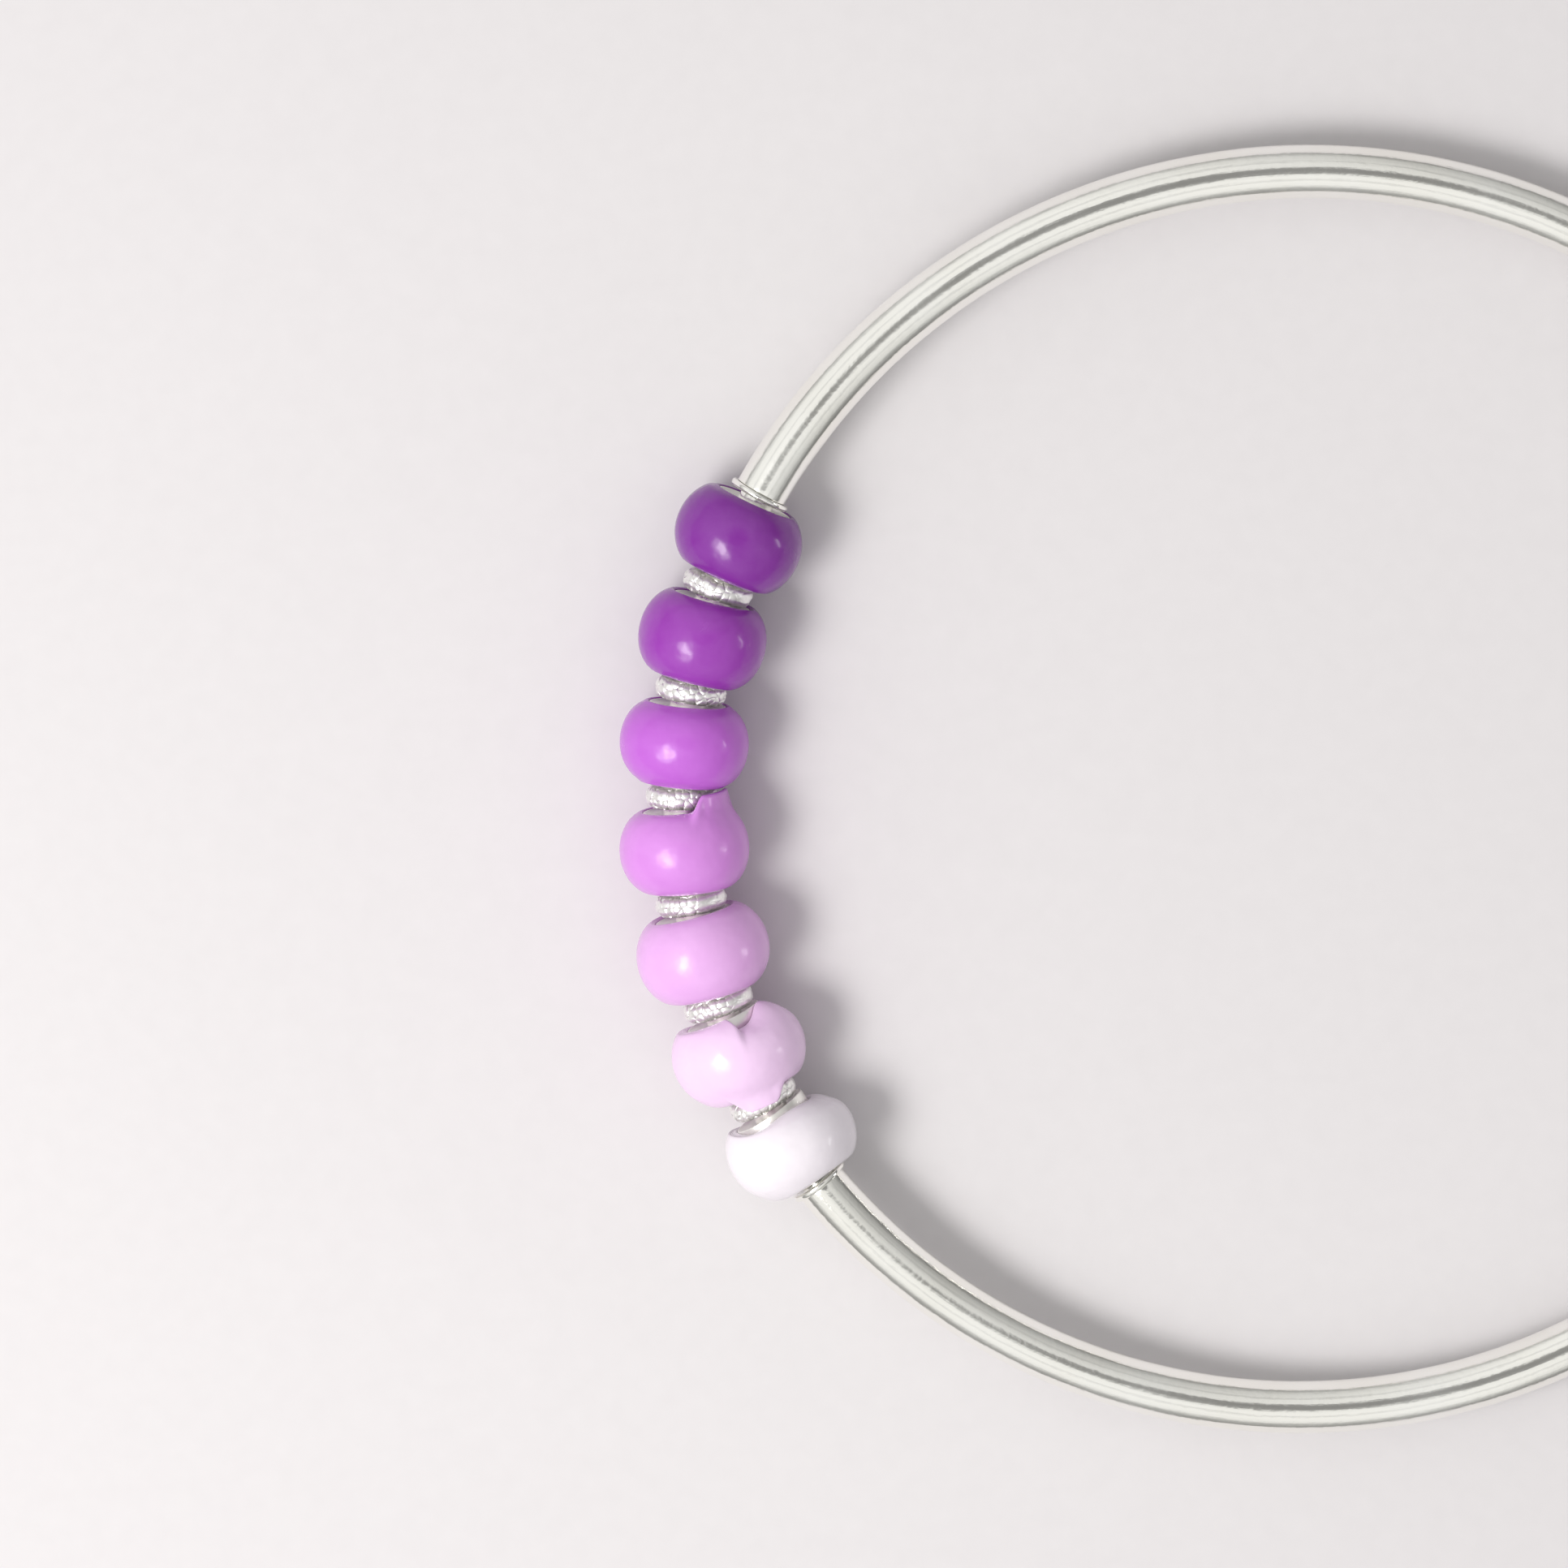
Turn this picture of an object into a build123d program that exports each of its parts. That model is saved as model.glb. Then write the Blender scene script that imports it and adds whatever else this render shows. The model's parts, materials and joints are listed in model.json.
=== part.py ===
"""Slip-on bangle: a round silver tube bent to an open ring, closed by a section of seven
enamelled beads that turn freely on a core wire, with a textured collar between each pair.

Frame: the ring's centre is the origin, the wrist goes through along Z, and the middle of the
bead section lies on -X. Beads are numbered from +Y round to -Y. Units are millimetres.
"""

import math
import os

from build123d import *

# ---- the ring ----
INNER_DIAMETER = 60.3  # across the wrist opening, tube to tube
TUBE_OD = 2.7
TUBE_WALL = 0.40
CORE_DIAMETER = 1.86
CORE_INSERT = 5.0  # length of core wire soldered inside each tube end
RING_RADIUS = INNER_DIAMETER / 2 + TUBE_OD / 2  # centreline of tube and core

# ---- the bead section ----
BEAD_COUNT = 7
BEAD_PITCH = 5.4  # along the ring's centreline
BEAD_DIAMETERS = (6.55, 6.55, 6.60, 6.60, 6.80, 6.85, 6.80)  # hand made, so not all alike
BEAD_LENGTHS = (4.3, 4.4, 4.16, 4.3, 4.46, 4.4, 4.3)  # over the crowns of its two ends
CROWN_RADIUS = 1.70  # where an end of the bead stands furthest out
MOUTH_HEIGHT = 2.0  # from the bead's middle to the silver rim at each end
RIM_RADIUS = 1.95  # outside of the silver rim
RIM_WIDTH = 0.13
LINER_WALL = 0.13
LINER_BORE = 2.02
LINER_STRAIGHT = 1.62  # half the length of the liner's bore, between its dished mouths
LINER_NECK_HEIGHT = 0.65  # where the liner's outside starts to widen
BAND_LENGTH = 0.9  # smooth band round each mouth, buried in the enamel
LIP_HEIGHT = 0.04  # how far the enamel stands past the silver rim
SHOULDER_ARC = 72.0  # degrees of the shoulder's ellipse before the rolled edge
ROLLED_EDGE_OFFSET = (-0.02, 0.03)  # the rolled edge's middle, off the straight line

# ---- the textured collars and the end collars ----
SPACER_DIAMETER = 3.76
SPACER_END_DIAMETER = 3.2
SPACER_LENGTH = 1.06
SPACER_BORE = 1.98
FACET_COUNT = 12  # flats in each row of the diamond cut
FACET_ROWS = 3
END_COLLAR_DIAMETER = 3.2
END_COLLAR_THICKNESS = 0.30
END_COLLAR_BORE = 1.90
END_COLLAR_EASING = 0.08
END_CLEARANCE = 0.30  # between an end bead's rim and its end collar

# ---- enamel tongues that ran over the neck beside a bead ----
# bead number: side of the bead, turn about its axis from outward, arc, reach past the crown
TONGUES = {4: (-1, -150.0, 96.0, 0.76), 6: (1, -92.0, 70.0, 0.60)}
TONGUE_ROOT_RADIUS = 2.02
TONGUE_TIP_RADIUS = 2.14  # clears the collar that the tongue lies over
TONGUE_OUTER_RADIUS = 2.38
TONGUE_ROOT_HEIGHT = 1.4
TONGUE_ROOT_DEPTH = 0.45  # how far inside the bead's surface the tongue starts
TONGUE_TIP_ROUND = 0.12  # from the tip back to its thickest point

# ---- a notch in one bead's lip, where the enamel stops short and bares the liner's band ----
NOTCHED_BEAD = 6
NOTCH_TURN = -117.0  # its middle, about the bead's axis from outward
NOTCH_SIDE = -0.60  # its steep side, across the bead from that middle
NOTCH_DEEPEST = 1.36  # heights are from the bead's middle, along its axis
NOTCH_FLOOR = (-0.35, 0.75)  # the floor climbs between these two places
NOTCH_FLOOR_END_HEIGHT = 1.74
NOTCH_MOUTH = 1.20
NOTCH_MOUTH_HEIGHT = 2.30

PITCH_ANGLE = math.degrees(BEAD_PITCH / RING_RADIUS)
MIDDLE_BEAD = (BEAD_COUNT + 1) / 2
END_STACK = MOUTH_HEIGHT + END_CLEARANCE + END_COLLAR_THICKNESS
SECTION_HALF_LENGTH = (MIDDLE_BEAD - 1) * BEAD_PITCH + END_STACK
SECTION_HALF_ANGLE = math.degrees(SECTION_HALF_LENGTH / RING_RADIUS)
UPPER_TUBE_END = 180 - SECTION_HALF_ANGLE
LOWER_TUBE_END = 180 + SECTION_HALF_ANGLE


def ring_direction(angle):
    """Unit vector from the ring's centre at an angle in degrees, anticlockwise from +X."""
    return Vector(math.cos(math.radians(angle)), math.sin(math.radians(angle)), 0)


def seat_plane(angle, straight_length=0.0):
    """Plane on the ring's centreline: X points outward and Y along the ring.

    A straight bore on the bent core sits half the bend's rise nearer the ring's centre.
    """
    rise = RING_RADIUS - math.sqrt(RING_RADIUS**2 - (straight_length / 2) ** 2)
    outward = ring_direction(angle)
    return Plane(origin=outward * (RING_RADIUS - rise / 2), x_dir=outward, z_dir=(0, 0, 1))


def cross_section_plane(angle):
    """Plane square to the ring's centreline: X points outward and Z along the ring."""
    outward = ring_direction(angle)
    return Plane(origin=outward * RING_RADIUS, x_dir=outward, z_dir=ring_direction(angle + 90))


def tangent_axis(plane):
    """The line about which a bead or collar turns: along the ring, through its seat."""
    return Axis(plane.origin, plane.y_dir)


def turned_plane(plane, turn):
    """A seat plane turned about the line along the ring."""
    along = Axis((0, 0, 0), plane.y_dir)
    return Plane(plane.origin, x_dir=plane.x_dir.rotate(along, turn), z_dir=plane.z_dir.rotate(along, turn))


def bead_angle(number):
    """Where a bead sits round the ring, and a half number for the collar after it."""
    return 180 + (number - MIDDLE_BEAD) * PITCH_ANGLE


def write(part, name):
    part.label = name
    export_step(part, f"parts/{name}.step")


def make_bent_rod(start_angle, end_angle, diameter, bore=0.0):
    """A round rod or tube that follows the ring from one angle to another."""
    with BuildPart() as rod:
        with BuildSketch(cross_section_plane(start_angle)):
            Circle(diameter / 2)
            if bore:
                Circle(bore / 2, mode=Mode.SUBTRACT)
        revolve(axis=Axis.Z, revolution_arc=end_angle - start_angle)
    return rod.part


def make_end_collar(tube_end, towards_bead):
    """The flat flange on a tube end, with its outer edge eased."""
    with BuildPart() as collar:
        with BuildSketch(cross_section_plane(tube_end)):
            Circle(END_COLLAR_DIAMETER / 2)
            Circle(END_COLLAR_BORE / 2, mode=Mode.SUBTRACT)
        extrude(amount=END_COLLAR_THICKNESS * towards_bead)
        rims = collar.edges().filter_by(GeomType.CIRCLE).group_by(SortBy.RADIUS)[-1]
        fillet(rims, radius=END_COLLAR_EASING)
    return collar.part


def liner_outer_edge():
    """Half of a liner's outside, from its middle to its rim: neck, cone and smooth band."""
    neck = LINER_BORE / 2 + LINER_WALL
    return Polyline(
        (neck, 0),
        (neck, LINER_NECK_HEIGHT),
        (RIM_RADIUS, MOUTH_HEIGHT - BAND_LENGTH),
        (RIM_RADIUS, MOUTH_HEIGHT),
    )


def make_liner(number):
    """The bead's silver eyelet: a straight bore with a dished mouth and a band at each end."""
    plane = seat_plane(bead_angle(number), 2 * LINER_STRAIGHT)
    bore = LINER_BORE / 2
    with BuildPart() as liner:
        with BuildSketch(plane):
            with BuildLine():
                outside = liner_outer_edge()
                dish_edge = (RIM_RADIUS - RIM_WIDTH, MOUTH_HEIGHT)
                Polyline(outside @ 1, dish_edge, (bore, LINER_STRAIGHT), (bore, 0), outside @ 0)
            make_face()
            mirror(about=Plane.XZ)
        revolve(axis=tangent_axis(plane))
    return liner.part


def make_bead(number):
    """The enamel body: a plump ring with rounded ends, bored to fit its liner."""
    plane = seat_plane(bead_angle(number), 2 * LINER_STRAIGHT)
    equator = BEAD_DIAMETERS[number - 1] / 2
    crown = BEAD_LENGTHS[number - 1] / 2
    with BuildPart() as bead:
        with BuildSketch(plane):
            with BuildLine():
                bore = liner_outer_edge()
                lip = Line(bore @ 1, (RIM_RADIUS, MOUTH_HEIGHT + LIP_HEIGHT))
                shoulder = EllipticalCenterArc(
                    (CROWN_RADIUS, 0), equator - CROWN_RADIUS, crown, arc_size=SHOULDER_ARC
                )
                rolled_edge = ((lip @ 1) + (shoulder @ 1)) / 2 + Vector(*ROLLED_EDGE_OFFSET)
                ThreePointArc(lip @ 1, rolled_edge, shoulder @ 1)
                Line(shoulder @ 0, bore @ 0)
            make_face()
            mirror(about=Plane.XZ)
        revolve(axis=tangent_axis(plane))
        if number in TONGUES:
            side, turn, arc, reach = TONGUES[number]
            tip = crown + reach
            root_edge = Vector(equator - TONGUE_ROOT_DEPTH, TONGUE_ROOT_HEIGHT * side)
            with BuildSketch(turned_plane(plane, turn - arc / 2)):
                with BuildLine():
                    under = Line((TONGUE_ROOT_RADIUS, root_edge.Y), (TONGUE_TIP_RADIUS, tip * side))
                    Spline(
                        under @ 1,
                        (TONGUE_OUTER_RADIUS, (tip - TONGUE_TIP_ROUND) * side),
                        root_edge,
                        tangents=[(1, 0), (0.3, -side)],
                    )
                    Line(root_edge, under @ 0)
                make_face()
            revolve(axis=tangent_axis(plane), revolution_arc=arc)
        if number == NOTCHED_BEAD:
            facing = turned_plane(plane, NOTCH_TURN)
            cut = Plane(plane.origin, x_dir=facing.z_dir, z_dir=facing.x_dir)
            with BuildSketch(cut):
                Polygon(
                    (NOTCH_SIDE, NOTCH_DEEPEST),
                    (NOTCH_FLOOR[0], NOTCH_DEEPEST),
                    (NOTCH_FLOOR[1], NOTCH_FLOOR_END_HEIGHT),
                    (NOTCH_MOUTH, NOTCH_MOUTH_HEIGHT),
                    (NOTCH_SIDE, NOTCH_MOUTH_HEIGHT),
                    align=None,
                )
            extrude(amount=equator, mode=Mode.SUBTRACT)
    return bead.part


def make_spacer(number):
    """A barrel-shaped collar whose outside is cut in rows of small flats."""
    plane = seat_plane(bead_angle(number + 0.5), SPACER_LENGTH)
    row_height = SPACER_LENGTH / FACET_ROWS
    end_radius = SPACER_END_DIAMETER / 2
    with BuildPart() as spacer:
        for row in range(FACET_ROWS):
            across = Plane(plane.origin, x_dir=plane.x_dir, z_dir=plane.y_dir)
            with BuildSketch(across.offset(row * row_height - SPACER_LENGTH / 2)):
                turn = row * 180 / FACET_COUNT
                RegularPolygon(SPACER_DIAMETER / 2, FACET_COUNT, rotation=turn)
            extrude(amount=row_height)
        with BuildSketch(plane):
            with BuildLine():
                barrel = ThreePointArc(
                    (end_radius, -SPACER_LENGTH / 2),
                    (SPACER_DIAMETER / 2, 0),
                    (end_radius, SPACER_LENGTH / 2),
                )
                bore_top = (SPACER_BORE / 2, SPACER_LENGTH / 2)
                bore_bottom = (SPACER_BORE / 2, -SPACER_LENGTH / 2)
                Polyline(barrel @ 1, bore_top, bore_bottom, barrel @ 0)
            make_face()
        revolve(axis=tangent_axis(plane), mode=Mode.INTERSECT)
    return spacer.part


os.makedirs("parts", exist_ok=True)

tube_arc_end = UPPER_TUBE_END + 360
insert_angle = math.degrees(CORE_INSERT / RING_RADIUS)
write(make_bent_rod(LOWER_TUBE_END, tube_arc_end, TUBE_OD, TUBE_OD - 2 * TUBE_WALL), "bangle_tube")
write(make_bent_rod(UPPER_TUBE_END - insert_angle, LOWER_TUBE_END + insert_angle, CORE_DIAMETER), "core_wire")
write(make_end_collar(UPPER_TUBE_END, 1), "end_collar_upper")
write(make_end_collar(LOWER_TUBE_END, -1), "end_collar_lower")

for number in range(1, BEAD_COUNT + 1):
    write(make_bead(number), f"bead_{number}")
    write(make_liner(number), f"bead_liner_{number}")
for number in range(1, BEAD_COUNT):
    write(make_spacer(number), f"spacer_{number}")
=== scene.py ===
"""Looks of the bead bangle: polished silver tube, seven enamelled beads and six cut silver collars.

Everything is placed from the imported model: the ring's size comes from the tube's box, and each
bead's and collar's seat from its joint. Lengths written as `0.3 * MM` are in millimetres.
A piece on a seat is a closed profile carried round its axis. A profile point is (radius, height):
radius from the axis, height along it, towards the next bead. Round the axis, 0 degrees points
away from the ring's centre, 90 up and 180 towards the centre.
"""

import json
import math

import bpy
import numpy as np
from mathutils import Matrix, Vector


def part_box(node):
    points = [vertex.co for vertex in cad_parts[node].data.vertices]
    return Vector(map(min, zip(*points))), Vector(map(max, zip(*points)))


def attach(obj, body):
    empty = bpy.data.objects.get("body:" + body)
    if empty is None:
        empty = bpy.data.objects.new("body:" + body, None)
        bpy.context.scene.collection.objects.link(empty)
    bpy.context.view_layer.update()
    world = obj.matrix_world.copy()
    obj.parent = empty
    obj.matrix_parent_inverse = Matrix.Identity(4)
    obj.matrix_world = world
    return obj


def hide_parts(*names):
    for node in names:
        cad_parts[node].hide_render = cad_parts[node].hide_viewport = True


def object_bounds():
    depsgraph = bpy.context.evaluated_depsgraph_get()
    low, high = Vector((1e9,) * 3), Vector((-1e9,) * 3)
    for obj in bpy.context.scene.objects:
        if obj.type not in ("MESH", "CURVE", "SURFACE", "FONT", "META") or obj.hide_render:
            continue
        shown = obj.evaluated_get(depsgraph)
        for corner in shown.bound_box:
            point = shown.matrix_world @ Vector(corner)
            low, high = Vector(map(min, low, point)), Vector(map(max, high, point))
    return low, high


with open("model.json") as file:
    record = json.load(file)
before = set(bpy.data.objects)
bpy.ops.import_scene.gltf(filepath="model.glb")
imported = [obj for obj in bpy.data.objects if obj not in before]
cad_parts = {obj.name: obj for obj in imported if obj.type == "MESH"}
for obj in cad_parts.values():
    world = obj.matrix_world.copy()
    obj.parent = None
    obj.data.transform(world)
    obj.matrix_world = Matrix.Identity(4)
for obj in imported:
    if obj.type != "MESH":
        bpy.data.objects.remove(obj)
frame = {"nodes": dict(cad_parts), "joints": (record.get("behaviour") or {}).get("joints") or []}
CAD_LOW, CAD_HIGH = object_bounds()

MM = 0.001
BEAD_NUMBERS = range(1, 8)
SPACER_NUMBERS = range(1, 7)

# ---- sizes read from the frame ----
tube_low, tube_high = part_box("bangle_tube")
TUBE_RADIUS = tube_high.z
RING_RADIUS = tube_high.y - TUBE_RADIUS
TUBE_END_ANGLE = math.acos(tube_low.x / tube_high.y)  # from +X, the upper end; the lower one mirrors it
COLLAR_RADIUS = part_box("end_collar_upper")[1].z
RIM_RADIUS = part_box("bead_liner_4")[1].z
SPACER_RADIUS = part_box("spacer_3")[1].z
SKIN = 0.01 * MM  # how far inside the CAD's widest radius the looks stay


def seat_matrix(joint_name):
    """A joint's seat: X away from the ring's centre, Y along the joint's axis, Z up."""
    joint = next(j for j in frame["joints"] if j["name"] == joint_name)
    along = Vector(joint["axis"]).normalized()
    up = Vector((0, 0, 1))
    outward = along.cross(up)
    seat = Matrix((outward, along, up)).transposed().to_4x4()
    seat.translation = Vector(joint["pos_m"])
    return seat


def reach_along(node_name, joint_name):
    """How far a node's own mesh reaches along its joint's axis, from the seat."""
    to_seat = seat_matrix(joint_name).inverted()
    return max((to_seat @ vertex.co).y for vertex in frame["nodes"][node_name].data.vertices)


MOUTH_HEIGHT = reach_along("bead_liner_4", "bead_4_spin")
SPACER_HALF_LENGTH = reach_along("spacer_3", "spacer_3_spin")


# ---- mesh building ----


def smoothstep(low, high, value):
    t = np.clip((value - low) / (high - low), 0, 1)
    return t * t * (3 - 2 * t)


def loop_mesh(name, grid):
    """A closed mesh from a grid of points that wraps round both ways, with a UV map.

    The first axis of the grid follows the profile or the length, the second goes round. As every
    piece here turns from outward to up, its faces come out wound inward.
    """
    rows, columns = grid.shape[:2]
    mesh = bpy.data.meshes.new(name)
    index = np.arange(rows * columns).reshape(rows, columns)
    right = np.roll(index, -1, axis=1)
    above = np.roll(index, -1, axis=0)
    corner = np.roll(right, -1, axis=0)
    quads = np.stack([index, right, corner, above], axis=-1).reshape(-1, 4)
    mesh.vertices.add(rows * columns)
    mesh.vertices.foreach_set("co", grid.reshape(-1).astype(np.float32))
    mesh.loops.add(quads.size)
    mesh.loops.foreach_set("vertex_index", quads.reshape(-1).astype(np.int32))
    mesh.polygons.add(len(quads))
    mesh.polygons.foreach_set("loop_start", np.arange(0, quads.size, 4, dtype=np.int32))
    mesh.update(calc_edges=True)
    mesh.polygons.foreach_set("use_smooth", np.full(len(quads), True))

    length = np.linalg.norm(np.diff(grid, axis=0, append=grid[:1]), axis=2).mean(axis=1)
    reach = np.concatenate([[0], np.cumsum(length)])
    row, column = np.divmod(np.arange(rows * columns), columns)
    corners = np.array([[0, 0], [0, 1], [1, 1], [1, 0]])
    u = reach[row[:, None] + corners[:, 0]]
    v = (column[:, None] + corners[:, 1]) / columns
    layer = mesh.uv_layers.new(name="lengthwise")
    layer.data.foreach_set("uv", np.stack([u, v], axis=-1).reshape(-1).astype(np.float32))

    mesh.validate()
    piece = bpy.data.objects.new(name, mesh)
    bpy.context.scene.collection.objects.link(piece)
    return piece


def on_seat(seat, radius, height, angle, lean=0.0):
    """Points in space from cylindrical places on a seat, with angle in degrees.

    A lean, in radians, swings them about the seat's vertical line.
    """
    turn = np.radians(angle)
    outward = radius * np.cos(turn)
    upward = radius * np.sin(turn)
    swung = outward * np.cos(lean) + height * np.sin(lean)
    along = height * np.cos(lean) - outward * np.sin(lean)
    local = np.stack([swung, along, upward], axis=-1)
    rotation = np.array(seat.to_3x3())
    return local @ rotation.T + np.array(seat.translation)


def arc(centre, radii, start, end, count):
    """Points of an elliptical arc in a profile, angles in degrees from the radius direction."""
    turn = np.radians(np.linspace(start, end, count))
    return np.stack([centre[0] + radii[0] * np.cos(turn), centre[1] + radii[1] * np.sin(turn)], axis=-1)


def resampled(points, count):
    """The same open path with count points spread evenly along it."""
    points = np.asarray(points, float)
    steps = np.linalg.norm(np.diff(points, axis=0), axis=1)
    keep = np.concatenate([[True], steps > 1e-9])
    points = points[keep]
    reach = np.concatenate([[0], np.cumsum(np.linalg.norm(np.diff(points, axis=0), axis=1))])
    at = np.linspace(0, reach[-1], count)
    return np.stack([np.interp(at, reach, points[:, i]) for i in (0, 1)], axis=-1)


def ripple(angle, seed, strengths):
    """A smooth closed wave round the axis, made of a few low harmonics."""
    random = np.random.default_rng(seed)
    wave = np.zeros_like(angle)
    for harmonic, strength in enumerate(strengths, start=1):
        phase = random.uniform(0, 360)
        wave += strength * np.cos(np.radians(harmonic * angle + phase))
    return wave


# ---- the enamel beads and their silver liners ----

NECK_RADIUS = 1.14 * MM
NECK_HEIGHT = 0.65 * MM
BAND_START = MOUTH_HEIGHT - 0.9 * MM  # the smooth silver band runs from here to the mouth
RIM_WIDTH = 0.13 * MM
RIM_EASING = 0.05 * MM
LINER_BORE_RADIUS = 1.01 * MM
LINER_STRAIGHT = 1.62 * MM
CROWN_RADIUS = 1.70 * MM
LIP_GAP = 0.01 * MM
CUT_CREST_RADIUS = 2.35 * MM  # the crest where an end of the enamel is cut back
CUT_HEIGHT = 1.38 * MM
LIP_RADIUS = RIM_RADIUS + LIP_GAP
LIP_HEIGHT = MOUTH_HEIGHT + 0.01 * MM
LEAN_BLEND = (LIP_RADIUS + 0.2 * MM, LIP_RADIUS + 0.9 * MM)  # a lean comes in between these radii

BEAD_HALF_LENGTHS = {1: 2.15, 2: 2.20, 3: 2.08, 4: 2.15, 5: 2.23, 6: 2.20, 7: 2.15}  # millimetres
# degrees that each hand-wound body leans over its liner
BEAD_LEANS = {1: 6, 2: 0, 3: 1, 4: 1, 5: -1, 6: 8, 7: 11}
# bead: (end, where it starts and is whole, where it starts to fade and ends, reach past the crown)
TONGUES = {4: (-1, (98, 122), (178, 206), 0.76 * MM), 6: (1, (60, 80), (112, 138), 0.60 * MM)}
# bead: its stretches where the enamel stops short at the end before it, each as
# (where it starts and is whole, where it starts to fade and ends, share of full depth)
CUT_BACKS = {
    6: [((97, 103), (114, 160), 1.0), ((150, 200), (280, 345), 0.55)],
    7: [((10, 60), (110, 175), 0.45), ((110, 175), (285, 350), 0.95)],
}


def smooth_path(controls, steps):
    """A Catmull-Rom path through the control points."""
    points = np.array(controls, float)
    padded = np.concatenate([2 * points[:1] - points[1:2], points, 2 * points[-1:] - points[-2:-1]])
    t = np.linspace(0, 1, steps, endpoint=False)[:, None]
    path = []
    for before, start, end, after in zip(padded, padded[1:], padded[2:], padded[3:]):
        bend = 2 * before - 5 * start + 4 * end - after
        twist = 3 * start - before - 3 * end + after
        path.append(start + 0.5 * ((end - before) * t + bend * t**2 + twist * t**3))
    return np.concatenate(path + [points[-1:]])


def shoulder_arc(equator, crown, sweep):
    return arc((CROWN_RADIUS, 0), (equator - CROWN_RADIUS, crown), 0, sweep, 40)


def plain_profile(equator, crown, rows):
    """From the equator over the shoulder and the crown to the lip on the silver rim."""
    shoulder = shoulder_arc(equator, crown, 66)
    roll = [
        shoulder[-1],
        (2.16 * MM, max(crown * 0.955, MOUTH_HEIGHT + 0.03 * MM)),
        (2.06 * MM, MOUTH_HEIGHT + 0.06 * MM),
        (1.99 * MM, MOUTH_HEIGHT + 0.045 * MM),
        (LIP_RADIUS, LIP_HEIGHT),
    ]
    return resampled(np.concatenate([shoulder, smooth_path(roll, 8)]), rows)


def tongue_profile(equator, crown, reach, rows):
    """The same path, run out over the neck as a rounded tongue that clears the collar."""
    shoulder = shoulder_arc(equator, crown, 44)
    tip = crown + reach
    run = [
        shoulder[-1],
        (2.60 * MM, crown - 0.28 * MM),
        (2.47 * MM, crown),
        (2.43 * MM, crown + 0.4 * reach),
        (2.42 * MM, tip - 0.18 * MM),
        (2.39 * MM, tip - 0.04 * MM),
        (2.29 * MM, tip),
        (2.18 * MM, tip - 0.05 * MM),
        (2.13 * MM, tip - 0.20 * MM),
        (LIP_RADIUS, LIP_HEIGHT),
    ]
    return resampled(np.concatenate([shoulder, smooth_path(run, 8)]), rows)


def cut_back_profile(equator, rows):
    """The same path where the enamel stops short and bares the silver band."""
    shoulder = arc((CUT_CREST_RADIUS, 0), (equator - CUT_CREST_RADIUS, CUT_HEIGHT), 0, 90, 40)
    drop = [
        shoulder[-1],
        (2.18 * MM, CUT_HEIGHT - 0.02 * MM),
        (2.05 * MM, CUT_HEIGHT - 0.10 * MM),
        (LIP_RADIUS, BAND_START + 0.04 * MM),
    ]
    return resampled(np.concatenate([shoulder, smooth_path(drop, 8)]), rows)


def turns_round(columns):
    """Angles round a seat, from underneath, where the texture's two edges meet."""
    return (np.arange(columns) * 360 / columns + 270) % 360


def span(angle, rise, fall):
    """1 between the end of rise and the start of fall, 0 outside both, in degrees."""
    return smoothstep(*rise, angle) * (1 - smoothstep(*fall, angle))


def enamel_half(number, end, angle, rows):
    """Radius and height of one half of a bead's outside, for every turn about the axis."""
    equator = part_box(f"bead_{number}")[1].z - SKIN
    crown = BEAD_HALF_LENGTHS[number] * MM
    profile = np.repeat(plain_profile(equator, crown, rows)[:, None], len(angle), axis=1)
    if number in TONGUES and TONGUES[number][0] == end:
        _, rise, fall, reach = TONGUES[number]
        share = span(angle, rise, fall)[None, :, None]
        profile += share * (tongue_profile(equator, crown, reach, rows)[:, None] - profile)
    if end < 0:
        stretches = CUT_BACKS.get(number, [])
        cut_back = sum(depth * span(angle, rise, fall) for rise, fall, depth in stretches)
        share = np.minimum(cut_back, 1.0) * np.ones_like(angle)
        profile += share[None, :, None] * (cut_back_profile(equator, rows)[:, None] - profile)
    radius, height = profile[..., 0], profile[..., 1]
    shoulder = np.sin(np.linspace(0, math.pi, rows))[:, None]
    body = np.cos(np.linspace(0, math.pi / 2, rows))[:, None]
    height = height * (1 + shoulder * ripple(angle, 100 * number + end, (0.014, 0.010, 0.006)))
    radius = radius * (1 + body * ripple(angle, 10 * number, (0, 0.005, 0.003, 0.002)))
    return radius, height


def bead_piece(number):
    """One enamel body, with its own slight unevenness and any tongue or cut-back."""
    columns, rows = 160, 48
    angle = turns_round(columns)
    halves = {end: enamel_half(number, end, angle, rows) for end in (-1, 1)}
    bore = {}
    for end, (radius, height) in halves.items():
        lip = height[-1]
        inside = [(radius[-1], lip - 0.02 * MM), (radius[-1], np.full(columns, BAND_START))]
        inside.append((np.full(columns, NECK_RADIUS + LIP_GAP), np.full(columns, NECK_HEIGHT)))
        bore[end] = [np.stack(parts) for parts in zip(*inside)]
    radius = np.concatenate([halves[-1][0][::-1], halves[1][0][1:], bore[1][0], bore[-1][0][::-1]])
    height = np.concatenate([-halves[-1][1][::-1], halves[1][1][1:], bore[1][1], -bore[-1][1][::-1]])
    lean = math.radians(BEAD_LEANS[number]) * smoothstep(*LEAN_BLEND, radius)
    grid = on_seat(seat_matrix(f"bead_{number}_spin"), radius, height, angle, lean)
    piece = loop_mesh(f"enamel_bead_{number}", grid)
    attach(piece, f"bead_{number}")
    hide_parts(f"bead_{number}")
    return piece


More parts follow.
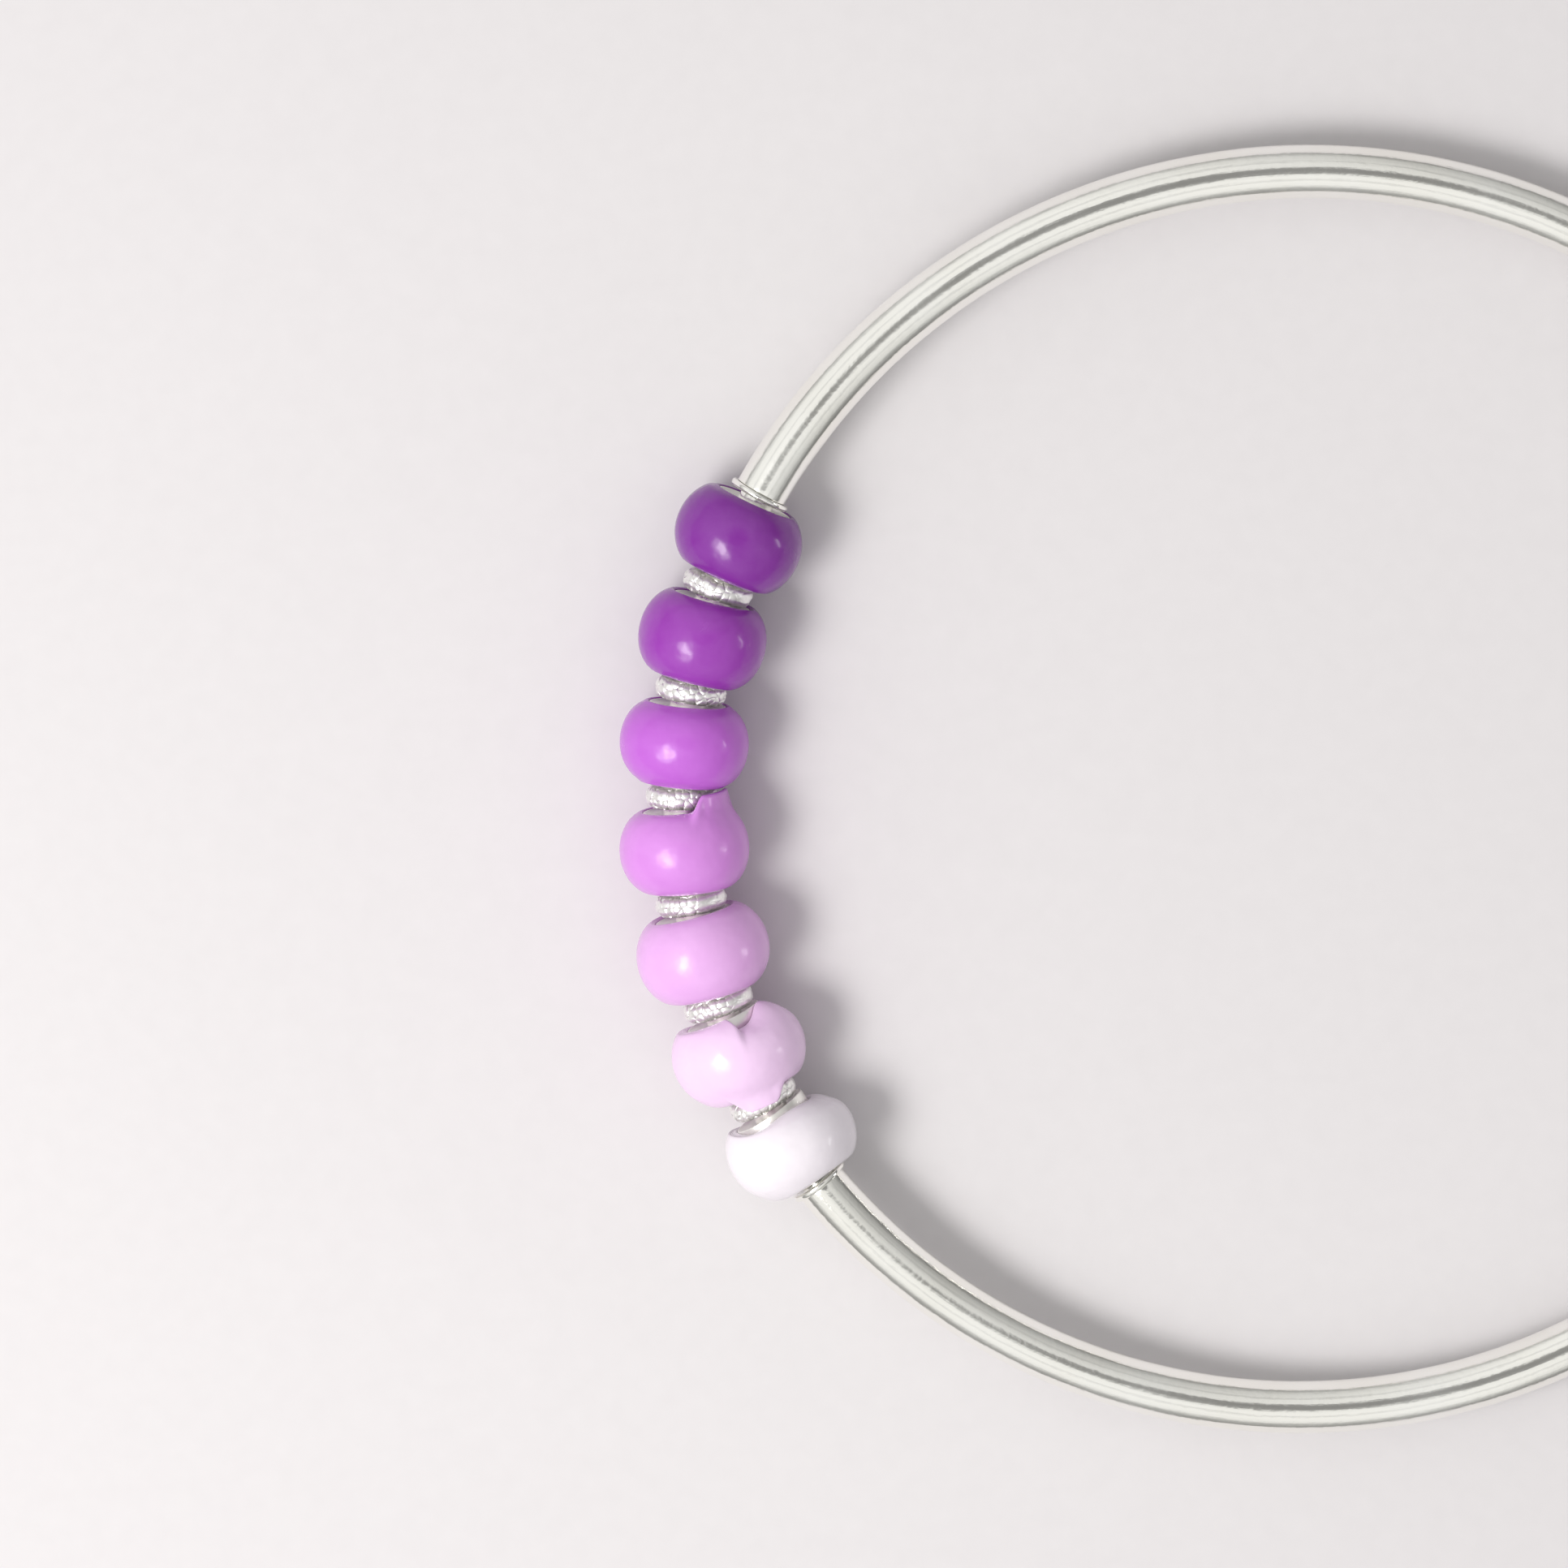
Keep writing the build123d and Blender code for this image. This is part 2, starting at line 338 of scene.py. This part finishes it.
def liner_piece(number):
    """The silver eyelet: smooth bands at both mouths, and rims rounded to catch the light."""
    ease = RIM_EASING
    rim_out = arc((RIM_RADIUS - ease, MOUTH_HEIGHT - ease), (ease, ease), 0, 90, 6)
    rim_in = arc((RIM_RADIUS - RIM_WIDTH + ease, MOUTH_HEIGHT - ease), (ease, ease), 90, 150, 4)
    outside = [
        (NECK_RADIUS, NECK_HEIGHT),
        (RIM_RADIUS - ease, BAND_START),
        (RIM_RADIUS, BAND_START + ease),
    ]
    dish = smooth_path(
        [
            rim_in[-1],
            (1.62 * MM, 1.86 * MM),
            (1.30 * MM, 1.74 * MM),
            (LINER_BORE_RADIUS + 0.06 * MM, LINER_STRAIGHT + 0.03 * MM),
            (LINER_BORE_RADIUS, LINER_STRAIGHT - 0.06 * MM),
        ],
        5,
    )
    half = np.concatenate([outside, rim_out, rim_in, dish[1:]])
    profile = np.concatenate([half, half[::-1] * [1, -1]])
    columns = 128
    angle = turns_round(columns)
    radius = np.repeat(profile[:, :1], columns, axis=1)
    height = np.repeat(profile[:, 1:], columns, axis=1)
    grid = on_seat(seat_matrix(f"bead_{number}_spin"), radius, height, angle)
    piece = loop_mesh(f"liner_{number}", grid)
    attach(piece, f"bead_{number}")
    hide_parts(f"bead_liner_{number}")
    return piece


# ---- the textured collars ----

SPACER_END_RADIUS = 1.60 * MM
SPACER_BORE_RADIUS = 0.99 * MM
SPACER_EDGE_EASING = 0.02 * MM
SPACER_FACE_EASING = 0.18 * MM
SPACER_BORE_EASING = 0.05 * MM
PEBBLE_SIZE = 0.45 * MM
PEBBLE_ROWS = 2
PEBBLE_SINK = 0.035  # millimetres, the most that one grain stands in from the next
PEBBLE_DOME = 0.03 * MM
PEBBLE_TILT = 0.14
GROOVE_DEPTH = 0.035 * MM
GROOVE_WIDTH = 0.06 * MM
DEEPEST_RELIEF = 0.16 * MM
RUBBED_SHARE = 0.8  # how much of the relief is gone where it is rubbed
# collar: where round it the grains are rubbed smooth (start, whole, fading, end)
RUBBED = {
    1: (95, 120, 150, 175),
    4: (92, 112, 165, 185),
    5: (100, 125, 160, 185),
    6: (150, 170, 200, 220),
}


def grain_relief(angle, height, seed):
    """How far each point of a collar stands in, as rounded grains with narrow grooves between."""
    random = np.random.default_rng(seed)
    girth = 2 * math.pi * SPACER_RADIUS
    columns = round(girth / PEBBLE_SIZE)
    row_height = 2 * SPACER_HALF_LENGTH / PEBBLE_ROWS
    row, column = np.meshgrid(np.arange(-1, PEBBLE_ROWS + 1), np.arange(columns), indexing="ij")
    around = (column + 0.5 * (row % 2) + random.uniform(-0.42, 0.42, row.shape)) * girth / columns
    along = (row + 0.5 + random.uniform(-0.34, 0.34, row.shape)) * row_height - SPACER_HALF_LENGTH
    sizes = random.uniform(0.75, 1.30, row.size)
    sink = random.uniform(0.0, PEBBLE_SINK, row.size) * MM
    tilts = random.uniform(-PEBBLE_TILT, PEBBLE_TILT, (row.size, 2))
    across = (angle[..., None] / 360 * girth - around.ravel() + girth / 2) % girth - girth / 2
    up = height[..., None] - along.ravel()
    distance = np.hypot(across, up) / sizes
    order = np.argsort(distance, axis=-1)[..., :2]
    nearest, second = np.moveaxis(np.take_along_axis(distance, order, axis=-1), -1, 0)
    own = order[..., 0]
    lean = tilts[own, 0] * np.take_along_axis(across, order[..., :1], axis=-1)[..., 0]
    lean += tilts[own, 1] * np.take_along_axis(up, order[..., :1], axis=-1)[..., 0]
    dome = PEBBLE_DOME * (nearest / (PEBBLE_SIZE / 2)) ** 2
    groove = GROOVE_DEPTH * (1 - smoothstep(0.0, GROOVE_WIDTH, second - nearest))
    return sink[own] + lean + dome + groove


def spacer_piece(number):
    """A barrel collar with its outside worked into small irregular grains."""
    columns, rows = 360, 44
    angle = turns_round(columns)
    height = np.linspace(-1, 1, rows) * (SPACER_HALF_LENGTH - SPACER_EDGE_EASING)
    angles, heights = np.meshgrid(angle, height)
    barrel = SPACER_END_RADIUS + (SPACER_RADIUS - SKIN - SPACER_END_RADIUS) * (
        1 - (heights / SPACER_HALF_LENGTH) ** 2
    )
    relief = np.clip(grain_relief(angles, heights, 500 + number), 0.0, DEEPEST_RELIEF)
    if number in RUBBED:
        start, whole, fading, end = RUBBED[number]
        relief = relief * (1 - RUBBED_SHARE * span(angles, (start, whole), (fading, end)))
    outer = barrel - relief
    face = [
        (SPACER_END_RADIUS - SPACER_FACE_EASING, SPACER_HALF_LENGTH),
        (SPACER_BORE_RADIUS + SPACER_BORE_EASING, SPACER_HALF_LENGTH),
        (SPACER_BORE_RADIUS, SPACER_HALF_LENGTH - SPACER_BORE_EASING),
    ]
    closing = np.concatenate([face, np.array(face)[::-1] * [1, -1]])
    radius = np.concatenate([outer, np.repeat(closing[:, :1], columns, axis=1)])
    height = np.concatenate([heights, np.repeat(closing[:, 1:], columns, axis=1)])
    grid = on_seat(seat_matrix(f"spacer_{number}_spin"), radius, height, angle)
    piece = loop_mesh(f"textured_collar_{number}", grid)
    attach(piece, f"spacer_{number}")
    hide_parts(f"spacer_{number}")
    return piece


# ---- the tube and its end collars ----

TUBE_WALL = 0.4 * MM
TUBE_END_EASING = 0.07 * MM
TUBE_OUTSIDE = TUBE_RADIUS - 0.008 * MM  # leaves room for the waves inside the CAD's radius
TUBE_WAVES = (5, 9, 14, 23, 31, 47)  # cycles round the whole ring
TUBE_WAVINESS = 0.0022 * MM
FLANGE_THICKNESS = 0.30 * MM
FLANGE_BORE_RADIUS = 0.95 * MM
FLANGE_EASING = 0.09 * MM


def ring_points(ring_angle, section_radius, around):
    """Points on circles square to the ring, given in degrees along the ring and round the tube."""
    along = np.radians(ring_angle)[:, None]
    turn = np.radians(around)[None, :]
    out = RING_RADIUS + section_radius * np.cos(turn)
    x = out * np.cos(along)
    y = out * np.sin(along)
    z = section_radius * np.sin(turn)
    return np.stack([x, y, z], axis=-1)


def tube_piece():
    """The bent tube: very slightly wavy, as hand bending and hand polishing leave it."""
    ease = TUBE_END_EASING
    end = math.degrees(TUBE_END_ANGLE)
    reach = math.degrees(ease / RING_RADIUS)
    columns, length_rows = 112, 720
    random = np.random.default_rng(7)
    along = np.linspace(-end + reach, end - reach, length_rows)
    wave = sum(
        random.uniform(0.2, 1.0) * np.sin(np.radians(along * frequency) + random.uniform(0, 6.28))
        for frequency in TUBE_WAVES
    )
    outside = TUBE_OUTSIDE + TUBE_WAVINESS * wave
    turns = (0.4, 0.8, 1.2, math.pi / 2)
    eased = [(end - reach * (1 - math.sin(t)), ease * (1 - math.cos(t))) for t in turns]
    upper = np.array([(angle, TUBE_OUTSIDE - drop) for angle, drop in eased])
    lower = upper[::-1] * [-1, 1]
    inside = np.array([(angle, TUBE_RADIUS - TUBE_WALL) for angle in np.linspace(end, -end, 90)])
    rings = np.concatenate([lower, np.stack([along, outside], axis=-1), upper, inside])
    around = np.arange(columns) * 360 / columns - 90
    grid = ring_points(rings[:, 0], rings[:, 1][:, None], around)
    piece = loop_mesh("polished_tube", grid)
    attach(piece, "band")
    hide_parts("bangle_tube")
    return piece


def end_collar_piece(name, side):
    """The thin flange on a tube end. side is 1 for the upper end and -1 for the lower one."""
    thickness = math.degrees(FLANGE_THICKNESS / RING_RADIUS)
    start = math.degrees(TUBE_END_ANGLE)
    columns = 112
    around = np.arange(columns) * 360 / columns - 90
    turns = np.radians(np.linspace(-90, 90, 9))
    middle = start + thickness / 2
    edge_angle = middle + np.sin(turns) * thickness / 2
    edge_radius = COLLAR_RADIUS - SKIN - FLANGE_EASING + FLANGE_EASING * np.cos(turns)
    inside = [(start + thickness, FLANGE_BORE_RADIUS), (start, FLANGE_BORE_RADIUS)]
    profile = np.concatenate([np.stack([edge_angle, edge_radius], axis=-1), inside])
    grid = ring_points(profile[:, 0] * side, profile[:, 1][:, None], around)
    if side < 0:
        grid = grid[::-1]
    piece = loop_mesh(f"flange_{name}", grid)
    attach(piece, "band")
    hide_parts(f"end_collar_{name}")
    return piece


# ---- materials ----


class Nodes:
    """A small helper that adds and links the nodes of one material."""

    def __init__(self, name):
        self.material = bpy.data.materials.new(name)
        self.material.use_nodes = True
        self.tree = self.material.node_tree
        self.shader = self.tree.nodes["Principled BSDF"]

    def add(self, kind, **values):
        node = self.tree.nodes.new(kind)
        for key, value in values.items():
            if key in node.inputs:
                node.inputs[key].default_value = value
            else:
                setattr(node, key, value)
        return node

    def link(self, source, target):
        self.tree.links.new(source, target)

    def noise(self, vector, scale, detail=3.0, roughness=0.5, distortion=0.0):
        node = self.add("ShaderNodeTexNoise", Scale=scale, Detail=detail)
        node.inputs["Roughness"].default_value = roughness
        node.inputs["Distortion"].default_value = distortion
        self.link(vector, node.inputs["Vector"])
        return node.outputs["Fac"]

    def ramp(self, value, low, high, out_low=0.0, out_high=1.0):
        node = self.add("ShaderNodeMapRange")
        for socket, number in zip(node.inputs[1:5], (low, high, out_low, out_high)):
            socket.default_value = number
        self.link(value, node.inputs["Value"])
        return node.outputs["Result"]

    def mix(self, factor, first, second):
        node = self.add("ShaderNodeMix", data_type="RGBA")
        node.inputs[6].default_value = (*first, 1)
        if isinstance(second, tuple):
            node.inputs[7].default_value = (*second, 1)
        else:
            self.link(second, node.inputs[7])
        self.link(factor, node.inputs[0])
        return node.outputs[2]

    def bump(self, height, strength, distance, below=None):
        node = self.add("ShaderNodeBump", Strength=strength, Distance=distance)
        self.link(height, node.inputs["Height"])
        if below is not None:
            self.link(below, node.inputs["Normal"])
        return node.outputs["Normal"]

    def mapped_uv(self, scale):
        uv = self.add("ShaderNodeUVMap", uv_map="lengthwise")
        mapping = self.add("ShaderNodeMapping")
        mapping.inputs["Scale"].default_value = scale
        self.link(uv.outputs["UV"], mapping.inputs["Vector"])
        return mapping.outputs["Vector"]

    def place(self):
        return self.add("ShaderNodeTexCoord").outputs["Object"]


def silver(name, roughness, streaks, grain_depth):
    """Silver with long fine drawing marks, small grain and a soft unevenness of polish.

    roughness is its lowest and highest, and the other two are bump strengths.
    """
    nodes = Nodes(name)
    lines = nodes.noise(nodes.mapped_uv((60, 9, 1)), 4.0, detail=3.0, roughness=0.6)
    grain = nodes.noise(nodes.place(), 2600, detail=4.0)
    cloud = nodes.noise(nodes.place(), 240, detail=2.0)
    shader = nodes.shader
    shader.inputs["Metallic"].default_value = 1.0
    tone = nodes.mix(nodes.ramp(cloud, 0.3, 0.7), (0.95, 0.94, 0.89), (0.98, 0.975, 0.94))
    nodes.link(tone, shader.inputs["Base Color"])
    nodes.link(nodes.ramp(cloud, 0.2, 0.8, *roughness), shader.inputs["Roughness"])
    drawn = nodes.bump(lines, streaks, 0.00001)
    nodes.link(nodes.bump(grain, grain_depth, 0.00002, below=drawn), shader.inputs["Normal"])
    return nodes.material


def cut_silver():
    """The collars' silver: a little darker in the low spots of its fine grain and brighter on its high
    ones.
    """
    nodes = Nodes("cut_silver")
    grain = nodes.noise(nodes.place(), 5200, detail=3.0)
    shader = nodes.shader
    shader.inputs["Metallic"].default_value = 1.0
    tone = nodes.mix(nodes.ramp(grain, 0.35, 0.7), (0.93, 0.92, 0.90), (0.99, 0.985, 0.97))
    nodes.link(tone, shader.inputs["Base Color"])
    nodes.link(nodes.ramp(grain, 0.3, 0.7, 0.34, 0.48), shader.inputs["Roughness"])
    nodes.link(nodes.bump(grain, 0.12, 0.00002), shader.inputs["Normal"])
    return nodes.material


ENAMEL_COLOURS = {
    1: (0.195, 0.012, 0.290),
    2: (0.280, 0.026, 0.390),
    3: (0.485, 0.108, 0.615),
    4: (0.630, 0.240, 0.710),
    5: (0.740, 0.400, 0.780),
    6: (0.840, 0.600, 0.860),
    7: (0.830, 0.780, 0.840),
}
ENAMEL_ROUGHNESS = (0.19, 0.31)
ENAMEL_GLOSS = {
    "IOR": 1.45,
    "Specular IOR Level": 0.35,
    "Coat Weight": 0.20,
    "Coat Roughness": 0.12,
    "Coat IOR": 1.5,
}
STREAK_TONES = ((0.88, 0.86, 0.90), (1.0, 1.0, 1.0))
STREAK_SHARE = 0.25


def enamel(number):
    """Opaque glossy enamel with faint clouding and a slightly uneven, flowed surface."""
    nodes = Nodes(f"enamel_{number}")
    colour = ENAMEL_COLOURS[number]
    paler = tuple(c + 0.04 * (1 - c) for c in colour)
    deeper = tuple(c * 0.93 for c in colour)
    cloud = nodes.noise(nodes.place(), 420, detail=3.0, distortion=0.8)
    streak = nodes.noise(nodes.mapped_uv((900, 3, 1)), 1.0, detail=3.0)
    flow = nodes.noise(nodes.place(), 700, detail=2.0)
    shader = nodes.shader
    clouded = nodes.mix(nodes.ramp(cloud, 0.1, 0.9), deeper, paler)
    tint = nodes.add("ShaderNodeMix", data_type="RGBA", blend_type="MULTIPLY")
    tint.inputs[0].default_value = STREAK_SHARE
    nodes.link(clouded, tint.inputs[6])
    nodes.link(nodes.mix(nodes.ramp(streak, 0.15, 0.85), *STREAK_TONES), tint.inputs[7])
    nodes.link(tint.outputs[2], shader.inputs["Base Color"])
    nodes.link(nodes.ramp(cloud, 0.0, 1.0, *ENAMEL_ROUGHNESS), shader.inputs["Roughness"])
    for socket, value in ENAMEL_GLOSS.items():
        shader.inputs[socket].default_value = value
    normal = nodes.bump(flow, 0.20, 0.0004)
    nodes.link(normal, shader.inputs["Normal"])
    nodes.link(normal, shader.inputs["Coat Normal"])
    return nodes.material


def finish_with(piece, material):
    piece.data.materials.clear()
    piece.data.materials.append(material)


# ---- camera, light and floor ----

SECTION_TURN = 4.909  # degrees the bead section is turned below the picture's left
VIEW_TILT = 8.0  # degrees the camera stands towards the picture's top
CAMERA_DISTANCE = 0.40
PICTURE_WIDTH = 0.07915  # what the picture spans at the aim, in metres
PICTURE_CENTRE = (-0.02634, 0.00061)  # the aim from the ring's centre, right and up in the picture
turn = math.radians(SECTION_TURN)
tilt = math.radians(VIEW_TILT)
UP = Vector((0, 0, 1))
PICTURE_RIGHT = Vector((math.cos(turn), -math.sin(turn), 0))
PICTURE_UP = Vector((math.sin(turn), math.cos(turn), 0))
TO_CAMERA = UP * math.cos(tilt) + PICTURE_UP * math.sin(tilt)
AIM = PICTURE_RIGHT * PICTURE_CENTRE[0] + PICTURE_UP * PICTURE_CENTRE[1]


def towards_sky(right, up, elevation):
    """Unit vector that points in the picture's direction (right, up), raised by elevation."""
    flat = (PICTURE_RIGHT * right + PICTURE_UP * up).normalized()
    raised = math.radians(elevation)
    return flat * math.cos(raised) + UP * math.sin(raised)


def make_camera():
    """Looking down at the aim from a little towards the picture's top."""
    camera = bpy.data.objects.new("camera", bpy.data.cameras.new("camera"))
    bpy.context.scene.collection.objects.link(camera)
    camera.data.lens = camera.data.sensor_width * CAMERA_DISTANCE / PICTURE_WIDTH
    camera.data.clip_start = 0.01
    rotation = Matrix((PICTURE_RIGHT, TO_CAMERA.cross(PICTURE_RIGHT), TO_CAMERA)).transposed()
    camera.matrix_world = Matrix.Translation(AIM + TO_CAMERA * CAMERA_DISTANCE) @ rotation.to_4x4()
    bpy.context.scene.camera = camera


def make_area_light(name, direction, distance, width, height, radiance, colour=(1, 1, 1)):
    """An oval light of an even brightness, in watts per square metre and steradian."""
    data = bpy.data.lights.new(name, "AREA")
    data.shape = "ELLIPSE"
    data.size, data.size_y = width, height
    data.energy = radiance * math.pi * width * height * math.pi / 4
    data.color = colour
    light = bpy.data.objects.new(name, data)
    bpy.context.scene.collection.objects.link(light)
    light.location = AIM + direction * distance
    light.rotation_mode = "QUATERNION"
    light.rotation_quaternion = direction.to_track_quat("Z", "Y")


# how bright the room is by the cosine of the angle from the camera: dark where the camera is,
# bright over the bangle with one dimmer ring, and duller down to the horizon
ROOM_STOPS = [
    (-1.0, 0.30),
    (0.0, 0.36),
    (0.15, 0.50),
    (0.42, 0.95),
    (0.70, 1.0),
    (0.76, 0.74),
    (0.82, 1.0),
    (0.955, 0.95),
    (0.975, 0.36),
    (1.0, 0.28),
]
ROOM_TINT = (1.0, 0.995, 0.975)
ROOM_BRIGHTNESS = 0.92
WINDOW_SIDE = (-1, -0.35, 15)  # right and up in the picture, and the elevation
# the cosines to the window's side between which the room brightens, and its share at each
SIDE_DIMMING = (-0.95, 0.2, 0.30, 1.0)
WINDOW_TINT = (1.0, 0.985, 0.96)
FLOOR_HALF_SIZE = 3.0
FLOOR_COLOURS = ((0.64, 0.62, 0.635), (0.67, 0.65, 0.665))


def make_world():
    """A pale room: bright overhead, dimmer near the horizon and on the side away from the window."""
    world = bpy.data.worlds.new("room")
    bpy.context.scene.world = world
    world.use_nodes = True
    tree = world.node_tree
    background = tree.nodes["Background"]
    place = tree.nodes.new("ShaderNodeTexCoord")

    def facing(direction):
        node = tree.nodes.new("ShaderNodeVectorMath")
        node.operation = "DOT_PRODUCT"
        node.inputs[1].default_value = direction
        tree.links.new(place.outputs["Generated"], node.inputs[0])
        return node.outputs["Value"]

    def remapped(value, *limits):
        node = tree.nodes.new("ShaderNodeMapRange")
        for socket, limit in zip(node.inputs[1:5], limits):
            socket.default_value = limit
        tree.links.new(value, node.inputs["Value"])
        return node.outputs["Result"]

    ramp = tree.nodes.new("ShaderNodeValToRGB")
    stops = ramp.color_ramp.elements
    while len(stops) < len(ROOM_STOPS):
        stops.new(0.5)
    for stop, (cosine, value) in zip(stops, ROOM_STOPS):
        stop.position = (cosine + 1) / 2
        stop.color = (*(value * share for share in ROOM_TINT), 1)
    tree.links.new(remapped(facing(TO_CAMERA), -1.0, 1.0, 0.0, 1.0), ramp.inputs["Fac"])
    side = remapped(facing(towards_sky(*WINDOW_SIDE)), *SIDE_DIMMING)
    product = tree.nodes.new("ShaderNodeVectorMath")
    product.operation = "SCALE"
    tree.links.new(ramp.outputs["Color"], product.inputs[0])
    tree.links.new(side, product.inputs["Scale"])
    tree.links.new(product.outputs[0], background.inputs["Color"])
    background.inputs["Strength"].default_value = ROOM_BRIGHTNESS



def make_floor():
    """A plain pale surface. The beads are thicker than the tube, so the bangle lies tipped on it."""
    bead_drop = -CAD_LOW.z
    tip = math.atan2(bead_drop - TUBE_RADIUS, CAD_HIGH.x - TUBE_RADIUS + RING_RADIUS)
    size = FLOOR_HALF_SIZE
    corners = [(-size, -size), (size, -size), (size, size), (-size, size)]
    slope = math.tan(tip)
    mesh = bpy.data.meshes.new("floor")
    level = -TUBE_RADIUS / math.cos(tip) - RING_RADIUS * slope
    points = [(x, y, level + x * slope) for x, y in corners]
    mesh.from_pydata(points, [], [(0, 1, 2, 3)])
    floor = bpy.data.objects.new("floor", mesh)
    bpy.context.scene.collection.objects.link(floor)
    nodes = Nodes("pale_floor")
    grain = nodes.noise(nodes.place(), 900, detail=3.0)
    nodes.link(nodes.mix(grain, *FLOOR_COLOURS), nodes.shader.inputs["Base Color"])
    nodes.shader.inputs["Roughness"].default_value = 0.9
    nodes.shader.inputs["Specular IOR Level"].default_value = 0.1
    finish_with(floor, nodes.material)


make_camera()
make_world()
make_area_light(
    "window",
    towards_sky(-1, -0.45, elevation=54),
    distance=0.30,
    width=0.20,
    height=0.15,
    radiance=4.8,
    colour=WINDOW_TINT,
)
make_area_light(
    "window_middle",
    towards_sky(-1, -0.40, elevation=57),
    distance=0.29,
    width=0.12,
    height=0.085,
    radiance=12.0,
    colour=WINDOW_TINT,
)
make_area_light(
    "side_glint",
    towards_sky(1, 0.02, elevation=14),
    distance=0.40,
    width=0.09,
    height=0.03,
    radiance=12.0,
)
make_floor()

tube_silver = silver("polished_silver", (0.07, 0.20), 0.7, 0.5)
mouth_silver = silver("mouth_silver", (0.34, 0.46), 0.1, 0.3)
collar_silver = cut_silver()
finish_with(tube_piece(), tube_silver)
finish_with(end_collar_piece("upper", 1), tube_silver)
finish_with(end_collar_piece("lower", -1), tube_silver)
finish_with(frame["nodes"]["core_wire"], tube_silver)
for number in BEAD_NUMBERS:
    finish_with(bead_piece(number), enamel(number))
    finish_with(liner_piece(number), mouth_silver)
for number in SPACER_NUMBERS:
    finish_with(spacer_piece(number), collar_silver)

bpy.context.scene.view_settings.view_transform = "Standard"
bpy.context.scene.view_settings.look = "None"
